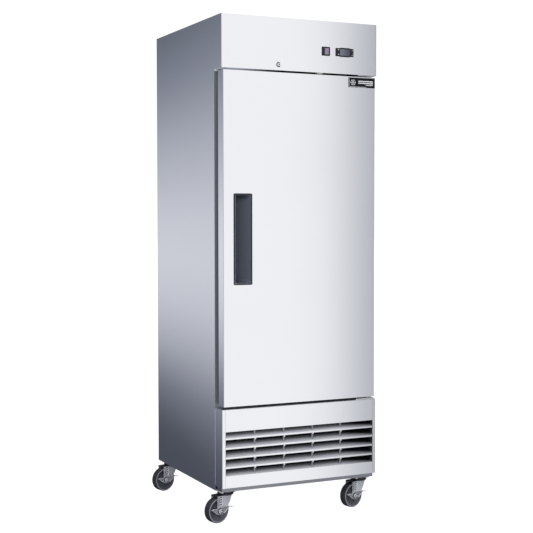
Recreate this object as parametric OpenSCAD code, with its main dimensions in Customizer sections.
// Single-door upright commercial refrigerator on four swivel casters.
// The origin is on the floor under the middle of the cabinet; +X is the right
// side seen from the front, the door faces -Y, and +Z is up. Millimetres.

/* [Cabinet] */
// outside width of the cabinet
body_w = 700; // [690:2:720]
// outside depth of the cabinet, door included
body_d = 740; // [730:2:770]
// overall height from the floor to the top
body_h = 2020; // [2010:2:2050]
// height of the mounting face of the casters above the floor
caster_h = 130; // [128:1:134]
// height of the top of the machine compartment
deck_z = 461; // [455:1:465]
// height of the header box
header_h = 210; // [200:1:216]
// thickness of the insulated walls
wall_t = 58; // [56:1:60]

/* [Door] */
// thickness of the door slab
door_t = 50; // [49:0.5:51]
// gap left between the door slab and the cabinet face, filled by the gasket
seal_gap = 23; // [22:0.5:24]
// how far the door stays inside the cabinet edge at each side
door_inset = 7; // [6:0.5:8]

/* [Handle] */
// width of the pull handle bezel
handle_w = 80; // [76:1:84]
// height of the pull handle bezel
handle_h = 363; // [340:1:380]

/* [Grille] */
// number of louvre blades
blade_count = 5; // [4:1:5]
// vertical distance from blade to blade
blade_pitch = 38.4; // [37:0.2:38.6]

/* [Shelves] */
// number of wires in a shelf
shelf_wires = 17; // [13:2:21]
// lift that frees a shelf from its clips
shelf_lift = 25; // [15:1:30]

/* [Casters] */
// wheel radius
wheel_r = 51; // [50:0.5:52]
// distance of the swivel axes from the middle of the cabinet, across
swivel_x = 308; // [306:1:309]
// distance of the swivel axes from the middle of the cabinet, along the depth
swivel_y = 310; // [306:1:312]
// horizontal distance from the swivel axis to the axle
trail = 45; // [43:1:46]
// distance the four casters sit behind the middle of the cabinet
caster_shift = 8; // [6:1:10]

/* [Hidden] */
$fn = 48;
sheet = 1.2;
eps = 0.5;
fold_r = 3.5;
blade_post_x = -205;
blade_post_gap = 130.3;
hw = body_w / 2;
hd = body_d / 2;
front_y = -hd;
face_y = front_y + door_t + seal_gap;
panel_z = caster_h + 17;
skirt_z = caster_h - 4;
head_z = body_h - header_h;
door_z0 = deck_z + 11;
door_z1 = head_z - 8;
door_hw = hw - door_inset;
door_y1 = front_y + door_t;
in_hw = hw - wall_t;
in_z0 = deck_z + 55;
in_z1 = body_h - wall_t;
in_y1 = hd - wall_t;
front_wall_t = 57;
in_y0 = face_y + front_wall_t;
open_z1 = head_z - 32;
strip_t = 6;
pin_x = hw - 27;
pin_y = front_y + 25;
pin_r = 4.95;
bush_r = 5;
mach_y1 = hd - 40;
handle_x = -door_hw + 44.5 + handle_w / 2;
handle_z = 1136.5;
lock_x = -102;
lock_z = head_z + 22.5;
plug_r = 6;
cam_len = 43;
switch_x = 112;
switch_z = head_z + 88;
rocker_x = switch_x + 4.4;
control_x = 198.3;
control_z = head_z + 87.8;
key_x = [-29.3, 34.6];
key_dz = 9.7;
key_w = 7;
key_h = 4.6;
shelf_z = [800, 1110, 1420];
shelf_y0 = in_y0 + 22;
shelf_y1 = in_y1 - 18;
shelf_hw = in_hw - 8;
pilaster_y = [-150, 220];
fan_r = 74;
evap_fan_y = -95;
evap_z0 = 1790;
cond_fan_z = 300;
cond_y0 = front_y + 78;
line_x = 200;
line_y = in_y1 + 9.5;
line_r = 5;
bore_r = 6.5;
liquid_z = panel_z + 87;
line_z = 1880;
rear_yaw = 180;
yaw = 15;
grille_z0 = 196;
grille_z1 = 372;
post_w = 13;

// ---- shared shapes ---------------------------------------------------------

// box between two corners
module span(x0, x1, y0, y1, z0, z1)
    translate([x0, y0, z0]) cube([x1 - x0, y1 - y0, z1 - z0]);

// flat ring in the XZ plane: outside half width a, inside half width b
module frame_ring(a, z0, z1, b, y0, y1) {
    difference() {
        span(-a, a, y0, y1, z0, z1);
        span(-a + b, a - b, y0 - eps, y1 + eps, z0 + b, z1 - b);
    }
}

// cylinder along Y, from y0 towards +Y
module rod_y(x, y0, z, r, len)
    translate([x, y0, z]) rotate([-90, 0, 0]) cylinder(r = r, h = len);

// cylinder along X
module rod_x(x0, y, z, r, len)
    translate([x0, y, z]) rotate([0, 90, 0]) cylinder(r = r, h = len);

// upright rectangle plate with round corners, facing -Y
module soft_plate(x, z, w, h, r, y0, t)
    translate([x, y0, z]) rotate([-90, 0, 0]) linear_extrude(t)
        union() {
            square([w - 2 * r, h], center = true);
            square([w, h - 2 * r], center = true);
            for (i = [-1, 1], j = [-1, 1])
                translate([i * (w / 2 - r), j * (h / 2 - r)]) circle(r);
        }

// upright prism, 2 * half wide, with its two front edges folded to radius r
module fold_prism(half, y0, y1, r, z0, z1)
    translate([0, 0, z0]) linear_extrude(z1 - z0) union() {
        translate([-half + r, y0]) square([2 * (half - r), y1 - y0]);
        translate([-half, y0 + r]) square([2 * half, y1 - y0 - r]);
        for (s = [-1, 1]) translate([s * (half - r), y0 + r]) circle(r);
    }

// ---- positions of the fasteners --------------------------------------------

back_screw_x = [-hw + 14, 0, hw - 14];
back_screw_z = [deck_z + 20, 960, 1480, body_h - 20];
vent_screw_z = [panel_z + 20, deck_z - 18];
bracket_screw_x = [pin_x - 50, pin_x - 28, pin_x - 6];
plate_bolt = [27, 28];
swivels = [for (j = [-1, 1], i = [-1, 1]) [i * swivel_x, j * swivel_y + caster_shift]];

// ---- cabinet ----------------------------------------------------------------

module outer_wrapper() {
    color([0.78, 0.79, 0.81]) difference() {
        union() {
            for (s = [-1, 1]) {
                span(s > 0 ? hw - sheet : -hw, s > 0 ? hw : -hw + sheet,
                    face_y, hd, skirt_z, body_h);
                span(s > 0 ? hw - 16 : -hw, s > 0 ? hw : -hw + 16,
                    face_y, hd - 40, panel_z, panel_z + sheet);
            }
            span(-hw, hw, face_y, hd, body_h - sheet, body_h);
            span(-hw, hw, face_y, hd - sheet, deck_z, deck_z + sheet);
            difference() {
                span(-hw, hw, face_y, face_y + sheet, deck_z, body_h);
                span(-in_hw - strip_t, in_hw + strip_t, face_y - eps, face_y + sheet + eps,
                    in_z0 - strip_t, open_z1 + strip_t);
            }
        }
        translate([line_x, line_y, deck_z - eps]) cylinder(r = bore_r, h = 5);
    }
}

module back_panel() {
    color([0.7, 0.71, 0.73]) difference() {
        union() {
            span(-hw + sheet, hw - sheet, hd - sheet, hd, deck_z - sheet, body_h - sheet);
            for (s = [-1, 1])
                span(s * 190 - 60, s * 190 + 60, hd - 0.2, hd + 2.5, 620, 1860);
            span(-hw + sheet, hw - sheet, mach_y1 - sheet, hd, deck_z - sheet, deck_z);
            span(-hw + sheet, hw - sheet, mach_y1 - sheet, mach_y1, panel_z + sheet, deck_z);
        }
        for (z = [200 : 26 : 408], x = [-250, -105, 40])
            span(x, x + 118, mach_y1 - 5, mach_y1 + 5, z, z + 8);
        rod_y(285, mach_y1 - 5, 205, 11.2, 10);
        for (x = back_screw_x, z = back_screw_z) rod_y(x, hd - 5, z, 2.1, 10);
        for (x = [-hw + 14, hw - 14], z = vent_screw_z) rod_y(x, mach_y1 - 5, z, 2.1, 10);
    }
}

module header_hood() {
    color([0.9, 0.905, 0.915]) difference() {
        fold_prism(hw, front_y, face_y, fold_r, head_z, body_h);
        fold_prism(hw - sheet, front_y + sheet, face_y + eps, fold_r - sheet,
            head_z + sheet, body_h - sheet);
        rod_y(lock_x, front_y - eps, lock_z, 8.1, 5);
        span(rocker_x - 13.2, rocker_x + 13.2, front_y - eps, front_y + 4, switch_z - 16,
            switch_z + 16);
        span(control_x - 40, control_x + 40, front_y - eps, front_y + 4, control_z - 14.5,
            control_z + 14.5);
        span(lock_x - 42, lock_x + 8, pin_y - 8, pin_y + 8, head_z - eps, head_z + 3);
        translate([-pin_x, pin_y, head_z - eps]) cylinder(r = 5, h = 5);
        for (x = bracket_screw_x)
            translate([x, pin_y + 24, head_z - eps]) cylinder(r = 2.6, h = 5);
    }
}

module cabinet_foam() {
    color([0.93, 0.88, 0.7]) difference() {
        span(-hw + sheet, hw - sheet, face_y + sheet, hd - sheet, deck_z + sheet,
            body_h - sheet);
        span(-in_hw - sheet, in_hw + sheet, in_y0, in_y1 + sheet, in_z0 - sheet,
            in_z1 + sheet);
        span(-in_hw - strip_t, in_hw + strip_t, face_y, in_y0 + eps, in_z0 - strip_t,
            open_z1 + strip_t);
        translate([line_x, line_y, deck_z]) cylinder(r = bore_r, h = line_z - deck_z);
        rod_y(line_x, in_y1, line_z, bore_r, line_y - in_y1);
        translate([line_x, line_y, line_z]) sphere(r = bore_r + 0.7);
        for (x = back_screw_x, z = back_screw_z) rod_y(x, hd - 14, z, 2.1, 20);
    }
}

module inner_liner() {
    color([0.86, 0.87, 0.88]) difference() {
        span(-in_hw - sheet, in_hw + sheet, in_y0, in_y1 + sheet, in_z0 - sheet,
            in_z1 + sheet);
        span(-in_hw, in_hw, in_y0 + sheet, in_y1, in_z0, in_z1);
        span(-in_hw, in_hw, in_y0 - eps, in_y0 + 5, in_z0, open_z1);
        rod_y(line_x, in_y1 - 5, line_z, bore_r, 10);
    }
}

module breaker_frame() {
    color([0.9, 0.9, 0.88]) difference() {
        span(-in_hw - strip_t, in_hw + strip_t, face_y + 0.3, in_y0, in_z0 - strip_t,
            open_z1 + strip_t);
        span(-in_hw, in_hw, face_y - eps, in_y0 + eps, in_z0, open_z1);
    }
}

module base_frame() {
    color([0.72, 0.73, 0.75]) difference() {
        union() {
            // front housing: side plates, corner posts and the ledge under the door
            difference() {
                fold_prism(hw, front_y, face_y, fold_r, panel_z, deck_z);
                fold_prism(hw - sheet, front_y + sheet, face_y + eps, fold_r - sheet,
                    panel_z - eps, deck_z - sheet);
                span(-hw + post_w, hw - post_w, front_y - eps, front_y + 10, panel_z - eps,
                    deck_z - sheet);
            }
            for (s = [-1, 1])
                span(s > 0 ? hw - post_w : -hw + post_w - sheet,
                    s > 0 ? hw - post_w + sheet : -hw + post_w,
                    front_y, front_y + 45, panel_z, deck_z);
            // floor pan and the rails that carry the casters
            span(-hw, hw, front_y + 6, face_y, panel_z - sheet, panel_z);
            span(-hw + sheet + 0.2, hw - sheet - 0.2, face_y - eps, mach_y1 - 2,
                panel_z - sheet, panel_z);
            difference() {
                span(-hw + 5, hw - 5, front_y + 15, hd - 15, caster_h, panel_z - sheet);
                span(-hw + 90, hw - 90, front_y + 105, hd - 105, caster_h - eps, panel_z);
                span(-hw + 8, hw - 8, front_y + 18, hd - 18, caster_h + 4, panel_z);
            }
        }
        for (c = swivels, i = [-1, 1], j = [-1, 1])
            translate([c[0] + i * plate_bolt[0], c[1] + j * plate_bolt[1], caster_h - eps])
                cylinder(r = 4.1, h = 12);
        for (x = bracket_screw_x)
            translate([x, pin_y + 24, deck_z - 5]) cylinder(r = 2.6, h = 10);
    }
}

module grille_panel() {
    gw = hw - post_w - 0.6;
    color([0.9, 0.905, 0.915]) union() {
        span(-gw, gw, front_y, front_y + sheet, grille_z1, deck_z - sheet - 0.4);
        span(-gw, gw, front_y, front_y + sheet, panel_z + 0.6, grille_z0);
        span(-gw, gw, front_y, front_y + 8, grille_z1, grille_z1 + sheet);
        span(-gw, gw, front_y, front_y + 16, panel_z + 0.6, panel_z + 0.6 + sheet);
        for (s = [-1, 1])
            span(s > 0 ? gw - sheet : -gw, s > 0 ? gw : -gw + sheet,
                front_y, front_y + 44, panel_z + 0.6, deck_z - sheet - 0.4);
    }
}

// one louvre: an upright lip with a sheet that climbs to the rear
module blade(z, gw) {
    y0 = front_y + 1.6;
    translate([-gw, 0, 0]) rotate([90, 0, 90]) linear_extrude(2 * gw)
        polygon([[y0, z - 3.2], [y0 + 1.3, z - 3.2], [y0 + 1.3, z + 1.9], [y0 + 33, z + 22],
            [y0 + 32.2, z + 23.1], [y0, z + 3.2]]);
}

module louvre_blades() {
    gw = hw - post_w - 0.6 - sheet;
    color([0.84, 0.85, 0.87]) union() {
        for (i = [0 : blade_count - 1])
            blade(grille_z1 - (i + 0.74) * blade_pitch, gw);
        // four uprights that carry the blades, just behind their lips
        for (i = [0 : 3], x = blade_post_x + i * blade_post_gap)
            span(x - 3, x + 3, front_y + 9, front_y + 13, grille_z0 - 8, grille_z1 + 8);
    }
}

module shelf_pilasters() {
    color([0.75, 0.76, 0.78]) for (s = [-1, 1], y = pilaster_y) difference() {
        span(s > 0 ? in_hw - 4 : -in_hw, s > 0 ? in_hw : -in_hw + 4, y - 11, y + 11,
            in_z0 + 44, open_z1 - 28);
        for (z = [in_z0 + 70 : 50 : open_z1 - 60])
            span(s * in_hw - 6, s * in_hw + 6, y - 5, y + 5, z, z + 18);
    }
}

module shelf_clips() {
    x0 = shelf_hw - 12;
    color([0.66, 0.67, 0.7]) for (z = shelf_z, s = [-1, 1], y = pilaster_y) union() {
        span(s > 0 ? x0 : -in_hw + 4, s > 0 ? in_hw - 4 : -x0, y - 8, y + 8, z - 4, z - 0.05);
        span(s > 0 ? in_hw - 8 : -in_hw + 4, s > 0 ? in_hw - 4 : -in_hw + 8,
            y - 8, y + 8, z - 16, z - 0.05);
    }
}

module evaporator_cover() {
    cw = in_hw - 6;
    y0 = in_y0 + 14;
    y1 = in_y1 - 12;
    color([0.88, 0.89, 0.9]) difference() {
        span(-cw, cw, y0, y1, evap_z0, in_z1);
        span(-cw + sheet, cw - sheet, y0 + sheet, y1 - sheet, evap_z0 + sheet, in_z1 + eps);
        translate([0, evap_fan_y, evap_z0 - eps]) difference() {
            cylinder(r = fan_r + 5, h = 5);
            for (r = [16, 32, 48, 64]) difference() {
                translate([0, 0, -eps]) cylinder(r = r + 1.2, h = 6);
                translate([0, 0, -1]) cylinder(r = r - 1.2, h = 8);
            }
            translate([0, 0, 2]) cube([2 * fan_r + 20, 3, 8], center = true);
            translate([0, 0, 2]) cube([3, 2 * fan_r + 20, 8], center = true);
        }
        for (x = [-240 : 40 : 240]) span(x - 14, x + 14, y1 - 5, y1 + 5, 1830, 1842);
        rod_y(line_x, y1 - 5, line_z, 9, 10);
    }
}

module evaporator_coil() {
    color([0.72, 0.74, 0.77]) union() {
        for (i = [0 : 17]) span(-180 + i * 21, -180 + i * 21 + 1.5, 70, 190, 1836, 1942);
        for (z = [1858, 1889, 1920], y = [95, 130, 165]) rod_x(-192, y, z, 4, 384);
        for (s = [-1, 1]) span(s > 0 ? 190 : -192, s > 0 ? 192 : -190, 64, 196, 1828, in_z1);
    }
}

module evaporator_fan_motor() {
    color([0.3, 0.31, 0.33]) translate([0, evap_fan_y, 0]) union() {
        translate([0, 0, 1838]) cylinder(r = 30, h = 44);
        translate([0, 0, 1801]) cylinder(r = 2.95, h = 40);
        for (a = [45 : 90 : 359]) rotate([0, 0, a])
            span(24, fan_r + 14, -6, 6, 1860, 1863);
        for (a = [45 : 90 : 359]) rotate([0, 0, a])
            span(fan_r + 11, fan_r + 14, -6, 6, evap_z0 + sheet, 1863);
    }
}

module interior_light() {
    color([0.96, 0.96, 0.94]) union() {
        span(-160, 160, in_y0 + 26, in_y0 + 52, evap_z0 - 6, evap_z0);
        rod_x(-150, in_y0 + 39, evap_z0 - 12, 9, 300);
    }
}

module condensing_tray() {
    color([0.68, 0.69, 0.71]) union() {
        difference() {
            span(-310, 310, cond_y0 - 8, 315, panel_z, panel_z + 14);
            span(-308.5, 308.5, cond_y0 - 6.5, 313.5, panel_z + 1.5, panel_z + 15);
        }
    }
    color([0.2, 0.21, 0.22]) difference() {
        span(-290, -130, 130, 295, panel_z + 1.5, panel_z + 46);
        span(-288, -132, 132, 293, panel_z + 3.5, panel_z + 47);
    }
}

module compressor() {
    z0 = panel_z + 1.5;
    color([0.1, 0.1, 0.11]) translate([120, 120, 0]) union() {
        for (i = [-1, 1], j = [-1, 1])
            translate([i * 82, j * 62, z0]) cylinder(r = 13, h = 16);
        span(-98, 98, -78, 78, z0 + 14, z0 + 18);
        translate([0, 0, z0 + 17]) rotate_extrude()
            polygon([[0, 0], [70, 0], [82, 14], [84, 30], [84, 96], [92, 97], [92, 104],
                [84, 105], [82, 130], [72, 152], [52, 166], [26, 172], [0, 173]]);
        span(60, 108, -30, 30, z0 + 44, z0 + 112);
        translate([-60, 0, z0 + 120]) cylinder(r = 6.6, h = 75);
        rod_y(-20, 74, liquid_z, 5.6, 40);
    }
}

module condenser_coil() {
    color([0.16, 0.17, 0.19]) union() {
        for (i = [0 : 23])
            span(-190 + i * 16, -190 + i * 16 + 2, cond_y0, cond_y0 + 44, 170, 432);
        for (z = [panel_z + 43 : 44 : 410], y = [12, 32]) rod_x(-202, cond_y0 + y, z, 4.5, 404);
        for (s = [-1, 1])
            span(s > 0 ? 198 : -200, s > 0 ? 200 : -198, cond_y0 - 4, cond_y0 + 48,
                panel_z + 1.5, 440);
    }
}

module fan_shroud() {
    y0 = cond_y0 + 50;
    color([0.3, 0.31, 0.33]) difference() {
        union() {
            span(-204, 204, y0, y0 + 2, panel_z + 1.5, 440);
            rod_y(0, y0, cond_fan_z, fan_r + 52, 36);
        }
        rod_y(0, y0 - eps, cond_fan_z, fan_r + 50, 40);
    }
}

module condenser_fan_motor() {
    y0 = cond_y0 + 50;
    color([0.22, 0.23, 0.25]) union() {
        rod_y(0, y0 + 52, cond_fan_z, 36, 56);
        rod_y(0, y0 + 8, cond_fan_z, 3.95, 48);
        for (a = [0 : 120 : 359]) translate([0, y0 + 96, cond_fan_z]) rotate([0, a, 0])
            span(30, 140, -2, 2, -7, 7);
        for (a = [0 : 120 : 359]) translate([0, y0, cond_fan_z]) rotate([0, a, 0])
            span(137, 140, 2, 98, -7, 7);
    }
}

// straight round bar from a to b
module tube(a, b, r) {
    d = b - a;
    reach = norm(d);
    translate(a) rotate([0, acos(d[2] / reach), atan2(d[1], d[0])]) cylinder(r = r, h = reach);
}

// tube through a list of points, with a soldered elbow at each corner
module tube_run(points, r) {
    for (i = [0 : len(points) - 2]) tube(points[i], points[i + 1], r);
    for (i = [1 : len(points) - 2]) translate(points[i]) sphere(r = r + 0.7);
}

module refrigerant_lines() {
    suction_z = panel_z + 216.5;
    color([0.72, 0.45, 0.28]) union()
        tube_run([[60, 120, panel_z + 196.5], [60, 120, suction_z], [60, 290, suction_z],
            [line_x, 290, suction_z], [line_x, line_y, suction_z], [line_x, line_y, line_z],
            [line_x, 165, line_z], [192, 165, line_z]], line_r);
    color([0.72, 0.45, 0.28]) union() {
        tube_run([[100, 234, liquid_z], [100, 255, liquid_z], [-60, 255, liquid_z],
            [-60, 60, liquid_z], [-230, 60, liquid_z], [-230, cond_y0 + 32, liquid_z],
            [-202, cond_y0 + 32, liquid_z]], 4);
        rod_y(-230, -120, liquid_z, 11, 110);
    }
}

module power_cord() {
    y0 = mach_y1 + 18;
    color([0.07, 0.07, 0.075]) union() {
        rod_y(285, mach_y1 - 12, 205, 11, 24);
        rod_y(285, mach_y1, 205, 15, 4);
        tube_run([[285, mach_y1 + 2, 205], [285, y0, 205], [285, y0, 300]], 4.5);
        for (k = [0, 1]) translate([225, y0 - 3 + k * 8, 300]) rotate([90, 0, 0])
            rotate_extrude() translate([60, 0]) circle(4.5);
        tube([165, y0, 300], [165, y0, 236], 4.5);
        translate([165, y0, 190]) cylinder(r = 13, h = 46);
        for (i = [-1, 1])
            span(165 + i * 6 - 0.8, 165 + i * 6 + 0.8, y0 - 3, y0 + 3, 168, 192);
        translate([165, y0 + 6, 168]) cylinder(r = 2.3, h = 24);
    }
}

// ---- controls in the header -------------------------------------------------

module controller_case() {
    color([0.05, 0.05, 0.06]) difference() {
        union() {
            soft_plate(control_x, control_z, 82, 33, 3, front_y - 2.6, 2.6);
            soft_plate(control_x + 1, control_z, 54, 37.2, 8, front_y - 2.2, 2.2);
            span(control_x - 39.5, control_x + 39.5, front_y, front_y + 55,
                control_z - 14, control_z + 14);
        }
        span(control_x - 21.2, control_x + 26.2, front_y - 5, front_y + 3,
            control_z - 13.2, control_z + 13.2);
        for (i = [0, 1], j = [-1, 1])
            span(control_x + key_x[i] - key_w / 2 - 0.2, control_x + key_x[i] + key_w / 2 + 0.2,
                front_y - 5, front_y + 5, control_z + j * key_dz - key_h / 2 - 0.2,
                control_z + j * key_dz + key_h / 2 + 0.2);
    }
}

module display_lens() {
    color([0.09, 0.1, 0.12]) span(control_x - 21, control_x + 26, front_y - 2, front_y + 3,
        control_z - 13, control_z + 13);
}

module key(i, j)
    color([0.16, 0.16, 0.18]) span(control_x + key_x[i] - key_w / 2,
        control_x + key_x[i] + key_w / 2, front_y - 3.6, front_y + 3,
        control_z + j * key_dz - key_h / 2, control_z + j * key_dz + key_h / 2);

module key_1() key(0, 1);
module key_2() key(0, -1);
module key_3() key(1, 1);
module key_4() key(1, -1);

rocker_y = front_y + 5.5;
rocker_r = 11.5;

module switch_bezel() {
    color([0.05, 0.05, 0.06]) difference() {
        union() {
            soft_plate(switch_x, switch_z, 36.6, 36.2, 2.5, front_y - 2.5, 2.5);
            span(rocker_x - 12.8, rocker_x + 12.8, front_y, front_y + 32, switch_z - 15.6,
                switch_z + 15.6);
        }
        span(rocker_x - 10.4, rocker_x + 10.4, front_y - 5, front_y + 24, switch_z - 13,
            switch_z + 13);
        translate([rocker_x, rocker_y, switch_z - 15]) cylinder(r = 2, h = 30);
    }
}

module rocker() {
    // flat faces seen from above; angles are measured from straight ahead
    a0 = -58;
    a1 = 44;
    color([0.62, 0.28, 0.85]) translate([rocker_x, rocker_y, switch_z - 12.6]) union() {
        linear_extrude(25.2) polygon([
            [rocker_r * sin(a0), -rocker_r * cos(a0)],
            [-0.6, -8.6],
            [rocker_r * sin(a1), -rocker_r * cos(a1)],
            [6, 5], [-6, 5]]);
        translate([0, 0, -2.2]) cylinder(r = 1.95, h = 29.6);
    }
}

module lock_barrel() {
    color([0.75, 0.76, 0.78]) difference() {
        union() {
            rod_y(lock_x, front_y - 2.4, lock_z, 10.8, 2.4);
            rod_y(lock_x, front_y, lock_z, 8, 22);
            rod_y(lock_x, front_y + sheet, lock_z, 11, 4);
        }
        rod_y(lock_x, front_y - 5, lock_z, plug_r + 0.05, 40);
    }
}

module lock_cylinder() {
    color([0.62, 0.63, 0.65]) union() {
        difference() {
            rod_y(lock_x, front_y - 3, lock_z, plug_r, 31);
            span(lock_x - 0.8, lock_x + 0.8, front_y - 5, front_y + 12, lock_z - 3.6,
                lock_z + 3.6);
        }
        span(lock_x - cam_len, lock_x, pin_y, pin_y + 3, lock_z - 6, lock_z + 6);
        rod_y(lock_x, pin_y, lock_z, 8.5, 3);
    }
}

module door_sensor() {
    color([0.85, 0.86, 0.87]) span(74, 100, front_y + 4, front_y + 26, head_z - 4.5, head_z);
}

// ---- hinges ------------------------------------------------------------------

module hinge_brackets() {
    color([0.7, 0.71, 0.73]) union() {
        difference() {
            span(pin_x - 59, hw - 8, front_y + 3, face_y - 6, head_z - 3.2, head_z);
            for (x = bracket_screw_x)
                translate([x, pin_y + 24, head_z - 5]) cylinder(r = 2.6, h = 8);
        }
        translate([pin_x, pin_y, door_z1 - 16]) cylinder(r = pin_r, h = head_z - door_z1 + 14);
    }
    color([0.7, 0.71, 0.73]) union() {
        difference() {
            span(pin_x - 66, hw - 6, front_y + 3, face_y - 6, deck_z, deck_z + 5);
            for (x = bracket_screw_x)
                translate([x, pin_y + 24, deck_z - 1]) cylinder(r = 2.6, h = 8);
        }
        translate([pin_x, pin_y, deck_z + 3]) cylinder(r = pin_r, h = 28);
    }
}

module hinge_bushes() {
    color([0.88, 0.88, 0.86]) difference() {
        union() {
            translate([pin_x, pin_y, deck_z + 5.2]) cylinder(r = 12, h = 5.8);
            translate([pin_x, pin_y, door_z0]) cylinder(r = 8, h = 30);
        }
        translate([pin_x, pin_y, deck_z]) cylinder(r = bush_r, h = 60);
    }
    color([0.88, 0.88, 0.86]) difference() {
        union() {
            translate([pin_x, pin_y, door_z1]) cylinder(r = 12, h = 2.4);
            translate([pin_x, pin_y, door_z1 - 24]) cylinder(r = 8, h = 25);
        }
        translate([pin_x, pin_y, door_z1 - 30]) cylinder(r = bush_r, h = 40);
    }
}

// ---- door --------------------------------------------------------------------

module pocket_hole(grow)
    span(handle_x - 35.5 - grow, handle_x + 38 + grow, front_y - 5, front_y + 37 + grow,
        handle_z - handle_h / 2 + 5 - grow, handle_z + handle_h / 2 - 5 + grow);

module lock_slot(grow)
    span(lock_x - 41 - grow, lock_x + 8 + grow, pin_y - 9 - grow, pin_y + 9 + grow,
        door_z1 - 22 - grow, door_z1 + 5);

module bush_holes(extra) {
    translate([pin_x, pin_y, door_z0 - 5]) cylinder(r = 8 + extra, h = 35.5);
    translate([pin_x, pin_y, door_z1 - 24.5]) cylinder(r = 8 + extra, h = 35);
}

module door_skin() {
    color([0.9, 0.905, 0.915]) difference() {
        fold_prism(door_hw, front_y, door_y1, fold_r, door_z0, door_z1);
        fold_prism(door_hw - sheet, front_y + sheet, door_y1 - sheet, fold_r - sheet,
            door_z0 + sheet, door_z1 - sheet);
        span(-door_hw + 14, door_hw - 14, door_y1 - 5, door_y1 + eps, door_z0 + 14,
            door_z1 - 14);
        pocket_hole(0);
        lock_slot(0);
        bush_holes(0.05);
    }
}

module door_foam() {
    color([0.93, 0.88, 0.7]) difference() {
        fold_prism(door_hw - sheet, front_y + sheet, door_y1 - sheet, fold_r - sheet,
            door_z0 + sheet, door_z1 - sheet);
        pocket_hole(0);
        lock_slot(0);
        bush_holes(0.05);
    }
}

module door_liner() {
    color([0.86, 0.87, 0.88]) union() {
        span(-door_hw + 14, door_hw - 14, door_y1 - sheet, door_y1, door_z0 + 14, door_z1 - 14);
        difference() {
            span(-in_hw + 6, in_hw - 6, door_y1 - sheet, door_y1 + 13, in_z0 + 8, open_z1 - 8);
            span(-in_hw + 46, in_hw - 46, door_y1 + 4, door_y1 + 20, in_z0 + 48,
                open_z1 - 48);
        }
    }
}

module door_gasket() {
    a = in_hw + 28;
    z0 = in_z0 - 28;
    z1 = open_z1 + 22;
    color([0.22, 0.225, 0.24]) union() {
        frame_ring(a, z0, z1, 24, door_y1, door_y1 + 6);
        frame_ring(a - 4, z0 + 4, z1 - 4, 15, door_y1 + 5.9, door_y1 + 14);
        frame_ring(a - 1, z0 + 1, z1 - 1, 22, door_y1 + 13.9, face_y - 0.1);
    }
}

// recessed pull: a bezel round a scoop that is deepest at its left side
module handle_pocket() {
    hx0 = handle_x - handle_w / 2;
    z0 = handle_z - handle_h / 2;
    color([0.2, 0.21, 0.23]) difference() {
        union() {
            soft_plate(handle_x, handle_z, handle_w, handle_h, 4, front_y - 3, 3);
            span(handle_x - 35.4, handle_x + 37.9, front_y, front_y + 36.9,
                z0 + 5.1, z0 + handle_h - 5.1);
        }
        translate([0, 0, z0 + 10]) linear_extrude(handle_h - 20) polygon([
            [hx0 + 11.5, front_y - 5], [hx0 + 11.5, front_y + 6], [hx0 + 7.5, front_y + 9],
            [hx0 + 7.5, front_y + 27], [hx0 + 14, front_y + 33], [hx0 + 30, front_y + 33.5],
            [hx0 + 50, front_y + 24], [hx0 + 66, front_y + 8], [hx0 + 73.5, front_y - 1],
            [hx0 + 73.5, front_y - 5]]);
    }
}

module badge_plate() {
    color([0.06, 0.06, 0.065]) difference() {
        soft_plate(279.5, 1778, 124, 40, 1.5, front_y - 1.6, 1.6);
        difference() {
            soft_plate(279.5, 1778, 120.4, 36.4, 1, front_y - 2, 0.9);
            soft_plate(279.5, 1778, 118, 34, 1, front_y - 3, 3);
        }
    }
}

// ---- turning parts of the cooling unit ----------------------------------------

// fan with its axis on Z, blades tilted about their own radius
module fan_wheel(r, blades, bore, hub_r, hub_h) {
    difference() {
        union() {
            cylinder(r = hub_r, h = hub_h);
            for (i = [0 : blades - 1]) rotate([0, 0, i * 360 / blades])
                translate([hub_r - 4, 0, hub_h / 2]) rotate([26, 0, 0])
                    linear_extrude(2, center = true) polygon([[0, -12], [0, 12],
                        [r - hub_r - 12, 25], [r - hub_r, 14], [r - hub_r, -18],
                        [r - hub_r - 12, -26]]);
        }
        translate([0, 0, -eps]) cylinder(r = bore, h = hub_h + 1);
    }
}

module evaporator_fan()
    color([0.13, 0.14, 0.16]) translate([0, evap_fan_y, 1804])
        fan_wheel(fan_r, 5, 3, 18, 20);

module condenser_fan()
    color([0.5, 0.52, 0.55]) translate([0, cond_y0 + 62, cond_fan_z]) rotate([-90, 0, 0])
        fan_wheel(fan_r + 44, 5, 4, 26, 22);

// ---- shelves -------------------------------------------------------------------

module shelf(z) {
    r = 3.5;
    w = 2.2;
    pitch = 2 * (shelf_hw - r) / (shelf_wires + 1);
    color([0.82, 0.83, 0.84]) union() {
        for (y = [shelf_y0 + r, pilaster_y[0] - 22, 35, pilaster_y[1] + 20, shelf_y1 - r])
            rod_x(-shelf_hw, y, z + r, r, 2 * shelf_hw);
        for (s = [-1, 1]) rod_y(s * (shelf_hw - r - 0.5), shelf_y0, z + r, r - 0.2,
            shelf_y1 - shelf_y0);
        for (i = [1 : shelf_wires])
            rod_y(-shelf_hw + r + i * pitch, shelf_y0 + 0.6, z + 2 * r + w - 1.2, w,
                shelf_y1 - shelf_y0 - 1.2);
    }
}

module shelf_1() shelf(shelf_z[0]);
module shelf_2() shelf(shelf_z[1]);
module shelf_3() shelf(shelf_z[2]);

// ---- casters -------------------------------------------------------------------

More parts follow.
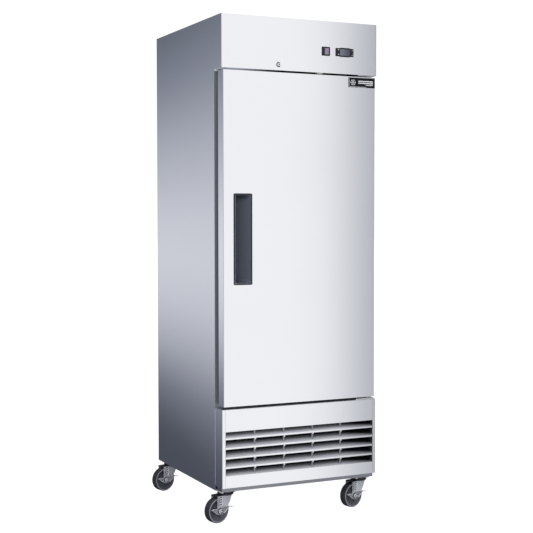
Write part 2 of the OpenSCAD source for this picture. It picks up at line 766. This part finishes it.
module caster_plates() {
    color([0.6, 0.61, 0.63]) for (c = swivels)
        translate([c[0], c[1], 0]) difference() {
            union() {
                span(-40, 40, -37, 37, caster_h - 4, caster_h);
                translate([0, 0, caster_h - 10]) cylinder(r1 = 27, r2 = 31, h = 7);
                translate([0, 0, caster_h - 24]) cylinder(r = 6, h = 20);
                translate([0, 0, caster_h - 26]) cylinder(r = 10, h = 3.8);
            }
            for (i = [-1, 1], j = [-1, 1])
                translate([i * plate_bolt[0], j * plate_bolt[1], caster_h - 12])
                    cylinder(r = 4.1, h = 14);
        }
}

// places a caster part: the part is drawn with its swivel axis on Z and trails to -X
module at_corner(i)
    translate([swivels[i][0], swivels[i][1], 0])
        rotate([0, 0, i == 3 ? yaw + rear_yaw : yaw]) children();

leg_y = 19.5;
leg_t = 3;

module fork_leg()
    rotate([90, 0, 0]) linear_extrude(leg_t) difference() {
        union() {
            polygon([[-trail - 11, caster_h - 18.5], [16, caster_h - 18.5],
                [12, caster_h - 31], [5, caster_h - 48], [-4, wheel_r + 19],
                [-trail + 12, wheel_r - 3], [-trail - 11, wheel_r - 3]]);
            translate([-trail, wheel_r]) circle(13);
        }
        translate([-10, caster_h - 36]) circle(4);
    }

module fork() {
    color([0.66, 0.67, 0.7]) difference() {
        union() {
            translate([0, leg_y + leg_t, 0]) fork_leg();
            translate([0, -leg_y, 0]) fork_leg();
            span(-trail - 11, 16, -leg_y - leg_t, leg_y + leg_t, caster_h - 22,
                caster_h - 18.5);
            translate([0, 0, caster_h - 19]) cylinder(r1 = 25, r2 = 29, h = 8.8);
            translate([-trail, 0, wheel_r]) rotate([90, 0, 0])
                cylinder(r = 6, h = 72, center = true);
            for (y = [-leg_y - leg_t - 5.5, leg_y + leg_t + 6])
                translate([-trail, y, wheel_r]) rotate([90, 0, 0])
                    cylinder(r = 10.5, h = 6, $fn = 6);
        }
        translate([0, 0, caster_h - 40]) cylinder(r = 6.05, h = 40);
        translate([0, 0, caster_h - 27]) cylinder(r = 10.5, h = 5.2);
    }
}

module fork_fl() at_corner(0) fork();
module fork_fr() at_corner(1) fork();
module fork_rl() at_corner(2) fork();
module fork_rr() at_corner(3) fork();

module wheel() {
    color([0.2, 0.21, 0.23]) translate([-trail, 0, wheel_r]) rotate([90, 0, 0])
        difference() {
            rotate_extrude() polygon([[5, -18.5], [11, -18.5], [13, -8], [30, -6], [38, -13],
                [42, -13.5], [42, 13.5], [38, 13], [30, 6], [13, 8], [11, 18.5], [5, 18.5]]);
            translate([0, 0, -30]) cylinder(r = 6.05, h = 60);
        }
    color([0.05, 0.05, 0.055]) translate([-trail, 0, wheel_r]) rotate([90, 0, 0])
        rotate_extrude() polygon([[42, -14.5], [48.5, -15.5], [50.3, -14.6], [wheel_r, -12.8],
            [wheel_r, 12.8], [50.3, 14.6], [48.5, 15.5], [42, 14.5]]);
}

module wheel_fl() at_corner(0) wheel();
module wheel_fr() at_corner(1) wheel();
module wheel_rl() at_corner(2) wheel();
module wheel_rr() at_corner(3) wheel();

// side brake: a two-ended lever that turns on the axle end outside the fork
module brake() {
    y0 = -leg_y - leg_t - 1;
    color([0.7, 0.71, 0.74]) translate([-trail, 0, wheel_r]) difference() {
        union() {
            translate([0, y0, 0]) rotate([90, 0, 0]) linear_extrude(3) union() {
                polygon([[-45, 9], [-33, 11.5], [-21, 8.5], [-10, 12], [12, 13], [22, 20],
                    [33, 19.5], [44, 15.5], [54, 12], [42, 11], [32, 1], [19, -10],
                    [8, -13], [-9, -13], [-20, -9], [-34, 2]]);
                circle(13.5);
            }
            translate([0, y0 - 2, 0]) rotate([90, 0, 0]) linear_extrude(13)
                polygon([[23, 16.5], [34, 17], [46, 12.6], [57, 11.2], [57.4, 13], [47, 14.9],
                    [34.6, 19.4], [23, 19]]);
            translate([0, y0, 0]) rotate([90, 0, 0]) cylinder(r = 11.5, h = 7);
        }
        rotate([90, 0, 0]) cylinder(r = 6.05, h = 80);
        translate([0, y0 - 4.2, 0]) rotate([90, 0, 0]) cylinder(r = 14, h = 20);
    }
}

module brake_fl() at_corner(0) brake();
module brake_fr() at_corner(1) brake();
module brake_rl() at_corner(2) brake();
module brake_rr() at_corner(3) brake();

// ---- fasteners -----------------------------------------------------------------

// pan head screw with the underside of its head at the origin, shank along +Z
module pan_screw(r, shank_r, len) {
    translate([0, 0, -2]) cylinder(r1 = r - 1.2, r2 = r, h = 2);
    translate([0, 0, -0.2]) cylinder(r = shank_r, h = len);
}

module screws() {
    color([0.6, 0.61, 0.63]) {
        for (x = back_screw_x, z = back_screw_z)
            translate([x, hd, z]) rotate([90, 0, 0]) pan_screw(4.2, 2, 12);
        for (x = [-hw + 14, hw - 14], z = vent_screw_z)
            translate([x, mach_y1, z]) rotate([90, 0, 0]) pan_screw(4.2, 2, 8);
        for (x = bracket_screw_x) {
            translate([x, pin_y + 24, deck_z + 5]) rotate([180, 0, 0]) pan_screw(4.6, 2.5, 9);
            translate([x, pin_y + 24, head_z - 3.2]) pan_screw(4.6, 2.5, 8);
        }
        for (c = swivels, i = [-1, 1], j = [-1, 1])
            translate([c[0] + i * plate_bolt[0], c[1] + j * plate_bolt[1], caster_h - 4])
            union() {
                translate([0, 0, -5]) cylinder(r = 6.5, h = 5, $fn = 6);
                translate([0, 0, -1]) cylinder(r = 4, h = 11);
            }
    }
}

// ---- assembly ------------------------------------------------------------------

outer_wrapper();
back_panel();
header_hood();
cabinet_foam();
inner_liner();
breaker_frame();
base_frame();
grille_panel();
louvre_blades();
shelf_pilasters();
shelf_clips();
evaporator_cover();
evaporator_coil();
evaporator_fan_motor();
interior_light();
condensing_tray();
compressor();
condenser_coil();
fan_shroud();
condenser_fan_motor();
refrigerant_lines();
power_cord();
controller_case();
display_lens();
switch_bezel();
lock_barrel();
door_sensor();
hinge_brackets();
caster_plates();
screws();
door_skin();
door_foam();
door_liner();
door_gasket();
handle_pocket();
badge_plate();
hinge_bushes();
rocker();
key_1();
key_2();
key_3();
key_4();
lock_cylinder();
evaporator_fan();
condenser_fan();
shelf_1();
shelf_2();
shelf_3();
fork_fl();
fork_fr();
fork_rl();
fork_rr();
wheel_fl();
wheel_fr();
wheel_rl();
wheel_rr();
brake_fl();
brake_fr();
brake_rl();
brake_rr();
